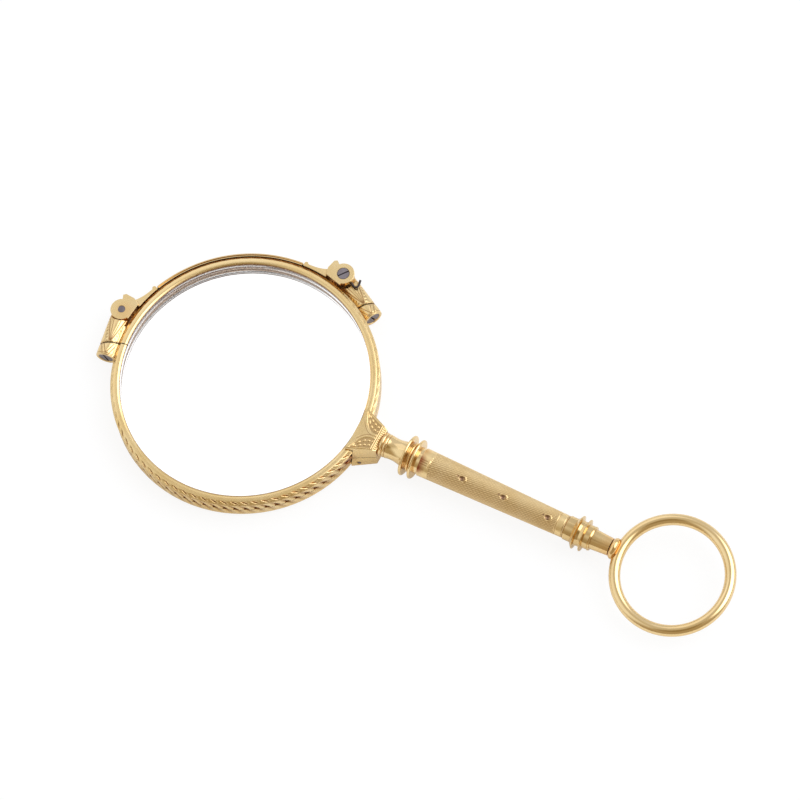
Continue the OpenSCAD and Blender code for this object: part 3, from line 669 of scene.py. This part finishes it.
def make_barrel_leaves(part, knuckle):
    """Two chased skins on one barrel or knuckle, above and below, their borders tucked into it."""
    sign = 1 if part == "front" else -1
    turn = math.radians(BRIDGE_AXIS - 90)
    head = math.radians(HEAD_ANGLE)
    pivot = np.array([-sign * PIVOT_D * math.sin(head), PIVOT_D * math.cos(head)])
    lean = math.pi + head + math.asin(BARREL_SPLIT / PIVOT_D)
    along = np.array([sign * math.cos(lean), math.sin(lean)])
    outward = np.array([sign * math.sin(lean), -math.cos(lean)])
    rows, columns = (36, 70) if knuckle else (80, 90)
    share, angle = np.meshgrid(np.linspace(0, 1, rows),
                               np.radians(np.linspace(-LEAF_SPREAD, LEAF_SPREAD, columns)), indexing="ij")
    side = BARREL_R * np.sin(angle)
    cut = BARREL_SPLIT + BARREL_SKEW * side
    if knuckle:
        start, end = cut + BARREL_GAP, np.full_like(cut, BARREL_END - 0.08)
    else:
        start, end = np.sqrt(np.maximum(LUG_R ** 2 - side ** 2, 0.2)), cut - BARREL_GAP
    t = start + (end - start) * share
    lines = np.maximum(barrel_lines(t, BARREL_R * angle, knuckle), ridge(t - cut, 0.2))
    height = BARREL_R + LEAF_LIFT - LEAF_CUT * lines
    for border in (height[:, 0], height[:, -1], height[0], height[-1]):
        border -= LEAF_TUCK
    flat = pivot + t[..., None] * along + (height * np.sin(angle))[..., None] * outward
    x = LENS.x + flat[..., 0] * math.cos(turn) - flat[..., 1] * math.sin(turn)
    y = LENS.y + flat[..., 0] * math.sin(turn) + flat[..., 1] * math.cos(turn)
    # The engraved lines and the split are darkened with painted shade
    for up, face in ((1, "upper"), (-1, "under")):
        level = sign * BARREL_Z + up * height * np.cos(angle)
        points = np.stack([x, y, SEAM_Z + np.clip(level, LEAF_LOW, LEAF_TOP)], axis=-1)
        name = f"{part}_{'knuckle' if knuckle else 'barrel'}_{face}_leaves"
        piece(name, points, grid_faces(*t.shape), f"{part}_part", "gold_satin", satin, sharp=80,
              hollow=0.85 * lines)


for part in ("front", "back"):
    for knuckle in (True, False):
        make_barrel_leaves(part, knuckle)


# Camera, at the photograph's place: it looks down on the front lens from the lower side of the picture
CAMERA_FOV = 10.55
CAMERA_FAR = 650 * MM
LOOK_FROM = Vector((0.2395, -0.3185, 0.917)).normalized()
LOOK_AT = Vector((-5.62, 5.48, 4.4)) * MM


def place_camera():
    data = bpy.data.cameras.new("camera")
    data.sensor_fit = "HORIZONTAL"
    data.lens_unit = "FOV"
    data.angle = math.radians(CAMERA_FOV)
    data.clip_start = 0.01
    data.clip_end = 20
    camera = bpy.data.objects.new("camera", data)
    bpy.context.scene.collection.objects.link(camera)
    right = UPWARD.cross(LOOK_FROM).normalized()
    up = LOOK_FROM.cross(right)
    turn = Matrix((right, up, LOOK_FROM)).transposed().to_4x4()
    camera.matrix_world = Matrix.Translation(LOOK_AT + LOOK_FROM * CAMERA_FAR) @ turn
    bpy.context.scene.camera = camera


place_camera()


# The table, which looks white to the camera and through glass, and still takes the object's shadow
FLOOR_HALF = 3.0
FLOOR_GAP = 0.05 * MM
WHITE_SHARE = 0.84
WHITE_GLOW = 1.04
GLASS_GLOW = 0.35
SHINY_SHARE = 0.3


def show_white(tree, shader):
    """Mixes white into a shader: most for rays from the camera or through glass, some for reflections."""
    rays = tree.nodes.new("ShaderNodeLightPath").outputs
    glow = maths(tree, "MULTIPLY_ADD", rays["Is Transmission Ray"], GLASS_GLOW, WHITE_GLOW)
    white = add_node(tree, "ShaderNodeEmission", Strength=glow)
    seen = maths(tree, "MAXIMUM", rays["Is Camera Ray"], rays["Is Transmission Ray"])
    shiny = maths(tree, "MULTIPLY_ADD", rays["Is Glossy Ray"], SHINY_SHARE, seen, clamp=True)
    mix = add_node(tree, "ShaderNodeMixShader", Fac=maths(tree, "MULTIPLY", shiny, WHITE_SHARE))
    tree.links.new(shader, mix.inputs[1])
    tree.links.new(white.outputs[0], mix.inputs[2])
    return mix.outputs[0]


def make_floor():
    mesh = bpy.data.meshes.new("floor")
    corners = [(x * FLOOR_HALF, y * FLOOR_HALF, 0) for x, y in ((-1, -1), (1, -1), (1, 1), (-1, 1))]
    mesh.from_pydata(corners, [], [(0, 1, 2, 3)])
    floor = bpy.data.objects.new("floor", mesh)
    floor.location.z = cad_box[0][2] - FLOOR_GAP
    bpy.context.scene.collection.objects.link(floor)
    material, tree, shader = new_material("white_table")
    feed(tree, shader.inputs["Base Color"], grey(0.9))
    feed(tree, shader.inputs["Roughness"], 0.8)
    tree.links.new(show_white(tree, shader.outputs[0]), tree.nodes["Material Output"].inputs["Surface"])
    mesh.materials.append(material)


make_floor()


# Light
def soft_light(name, place, size, power):
    data = bpy.data.lights.new(name, "AREA")
    data.shape = "SQUARE"
    data.size = size
    data.energy = power
    lamp = bpy.data.objects.new(name, data)
    lamp.location = place
    lamp.rotation_euler = Vector(place).to_track_quat("Z", "Y").to_euler()
    bpy.context.scene.collection.objects.link(lamp)


soft_light("left_softbox", (-0.75, 0.55, 0.8), 1.0, 1.0)

TENT_BASE = (0.58, 0.54, 0.47)
TENT = [  # patches: direction as right, up and high, half width and soft border in degrees, colour
    (0.0, 1.0, 0.30, 40, 30, (0.70, 0.71, 0.75)),
    (-1.0, -0.1, 0.80, 20, 22, (0.95, 0.99, 1.05)),
    (0.0, -1.0, 0.15, 42, 25, (0.44, 0.37, 0.26)),
    (0.80, 0.15, 0.80, 24, 12, (2.5, 2.6, 2.8)),
    (0.0, -0.45, 0.917, 11, 9, (0.32, 0.25, 0.14)),
]


def make_world():
    """A studio tent: white to the right, pale to the left, grey above, dark below and by the camera."""
    world = bpy.data.worlds.new("studio")
    world.use_nodes = True
    tree = world.node_tree
    coords = tree.nodes.new("ShaderNodeTexCoord").outputs["Generated"]
    colour = TENT_BASE
    for right, up, high, wide, soft, shade in TENT:
        towards = (RIGHTWARD * right + UPWARD * up + Vector((0, 0, high))).normalized()
        near = compared(tree, "DOT_PRODUCT", coords, towards)
        outer, inner = ((math.cos(math.radians(angle)) + 1) / 2 for angle in (wide + soft, wide))
        share = ramp(tree, maths(tree, "MULTIPLY_ADD", near, 0.5, 0.5), [(outer, BLACK), (inner, WHITE)])
        colour = mix_colour(tree, share, colour, shade)
    background = tree.nodes["Background"]
    feed(tree, background.inputs["Color"], colour)
    background.inputs["Strength"].default_value = 1.0
    bpy.context.scene.world = world


make_world()
bpy.context.scene.view_settings.view_transform = "Standard"
